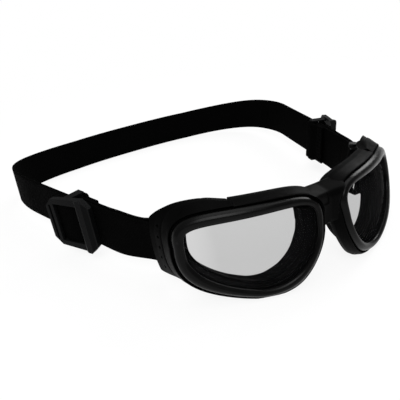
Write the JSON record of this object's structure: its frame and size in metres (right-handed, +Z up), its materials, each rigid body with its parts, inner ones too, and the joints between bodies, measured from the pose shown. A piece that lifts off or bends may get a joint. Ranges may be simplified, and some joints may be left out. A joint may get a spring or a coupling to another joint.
{
  "type": "tactical goggles",
  "caption": "Black tactical goggles: wraparound frame with clear lenses, vented side covers, face cushions and an adjustable webbing headband that closes behind the head.",
  "frame": {"origin": "middle of the box round the goggles, on the surface they stand on", "axes": "+Z up, -Y forward out of the lenses, +Y to the back of the head, +X to the wearer's left"},
  "size_m": [0.2106, 0.2362, 0.0453],
  "materials": {
    "frame_plastic": "satin black",
    "bezel_plastic": "semi-gloss black",
    "cover_plastic": "satin black",
    "anchor_plastic": "satin black",
    "slider_plastic": "satin black",
    "lens": "clear, faint grey tint",
    "seal_rubber": "matte",
    "cushion_foam": "matte closed-cell foam",
    "vent_mesh": "open mesh",
    "pin_steel": "brushed",
    "webbing": "woven, matte",
    "thread": "matte thread"
  },
  "bodies": {
    "goggle_front": {"front_frame": "frame_plastic", "lens_right": "lens", "lens_left": "lens", "lens_bezel_right": "bezel_plastic", "lens_bezel_left": "bezel_plastic", "lens_seal_right": "seal_rubber", "lens_seal_left": "seal_rubber", "cushion_carrier_right": "frame_plastic", "cushion_carrier_left": "frame_plastic", "face_cushion_right": "cushion_foam", "face_cushion_left": "cushion_foam", "side_cover_right": "cover_plastic", "side_cover_left": "cover_plastic", "vent_mesh_right": "vent_mesh", "vent_mesh_left": "vent_mesh", "strap_anchor_right": "anchor_plastic", "strap_anchor_left": "anchor_plastic", "anchor_pin_right": "pin_steel", "anchor_pin_left": "pin_steel", "strap_front_right": "webbing", "strap_front_left": "webbing", "strap_return_right": "webbing", "strap_return_left": "webbing", "strap_side_right": "webbing", "strap_side_left": "webbing"},
    "right_slider_set": {"slider_right": "slider_plastic", "slider_loop_right": "webbing", "loop_stitching_right": "thread"},
    "left_slider_set": {"slider_left": "slider_plastic", "slider_loop_left": "webbing", "loop_stitching_left": "thread"},
    "headband_back": {"rear_strap": "webbing"}
  },
  "joints": [
    {"name": "right_slider_slide", "type": "slide", "parent": "goggle_front", "child": "right_slider_set", "axis": [-0.2824, 0.9593, 0], "range_m": [-0.012, 0.012], "deforming": ["strap_return_right"]},
    {"name": "left_slider_slide", "type": "slide", "parent": "goggle_front", "child": "left_slider_set", "axis": [0.2824, 0.9593, 0], "range_m": [-0.012, 0.012], "deforming": ["strap_return_left"]},
    {"name": "headband_stretch", "type": "slide", "parent": "goggle_front", "child": "headband_back", "axis": [0, 1, 0], "range_m": [0, 0.02], "stiffness_N_per_m": 60, "deforming": ["strap_side_right", "strap_side_left"]}
  ]
}
